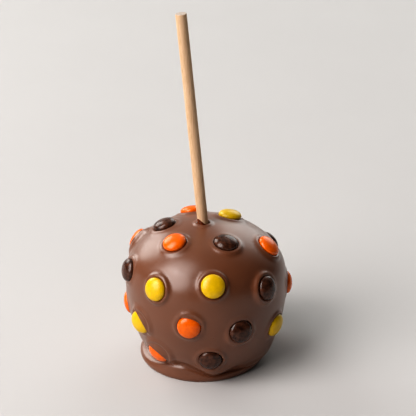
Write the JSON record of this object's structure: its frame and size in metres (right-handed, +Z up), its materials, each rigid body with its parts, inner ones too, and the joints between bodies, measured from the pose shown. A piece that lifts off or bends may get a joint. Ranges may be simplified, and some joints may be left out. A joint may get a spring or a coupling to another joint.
{
  "type": "chocolate-dipped caramel apple on a stick",
  "caption": "Whole apple in a thick chocolate coat with a set foot, studded with lens-shaped sugar-shelled candies, on a leaning wooden dowel stick.",
  "frame": {"origin": "centre of the flat round foot, on the surface that the apple stands on", "axes": "+Z up through the apple, -Y the side shown in front, +X to the right seen from the front; the stick leans 5.3 degrees towards -X and 1.5 degrees towards -Y"},
  "size_m": [0.0966, 0.0973, 0.2033],
  "materials": {
    "chocolate_coat": "satin set chocolate, softly glossy, with slow waves and small pinholes",
    "orange_shell": "glossy sugar shell, orange",
    "yellow_shell": "glossy sugar shell, yellow",
    "brown_shell": "glossy sugar shell, dark brown, slightly mottled",
    "stick_wood": "plain sanded dowel, fine lengthwise grain"
  },
  "bodies": {
    "root": {"candy_brown_01": "brown_shell", "candy_brown_02": "brown_shell", "candy_brown_03": "brown_shell", "candy_brown_04": "brown_shell", "candy_brown_05": "brown_shell", "candy_brown_06": "brown_shell", "candy_brown_07": "brown_shell", "candy_brown_08": "brown_shell", "candy_brown_09": "brown_shell", "candy_brown_10": "brown_shell", "candy_brown_11": "brown_shell", "candy_brown_12": "brown_shell", "candy_orange_01": "orange_shell", "candy_orange_02": "orange_shell", "candy_orange_03": "orange_shell", "candy_orange_04": "orange_shell", "candy_orange_05": "orange_shell", "candy_orange_06": "orange_shell", "candy_orange_07": "orange_shell", "candy_orange_08": "orange_shell", "candy_orange_09": "orange_shell", "candy_orange_10": "orange_shell", "candy_orange_11": "orange_shell", "candy_orange_12": "orange_shell", "candy_yellow_01": "yellow_shell", "candy_yellow_02": "yellow_shell", "candy_yellow_03": "yellow_shell", "candy_yellow_04": "yellow_shell", "candy_yellow_05": "yellow_shell", "candy_yellow_06": "yellow_shell", "candy_yellow_07": "yellow_shell", "candy_yellow_08": "yellow_shell", "candy_yellow_09": "yellow_shell", "coated_apple": "chocolate_coat", "stick": "stick_wood"}
  },
  "joints": []
}
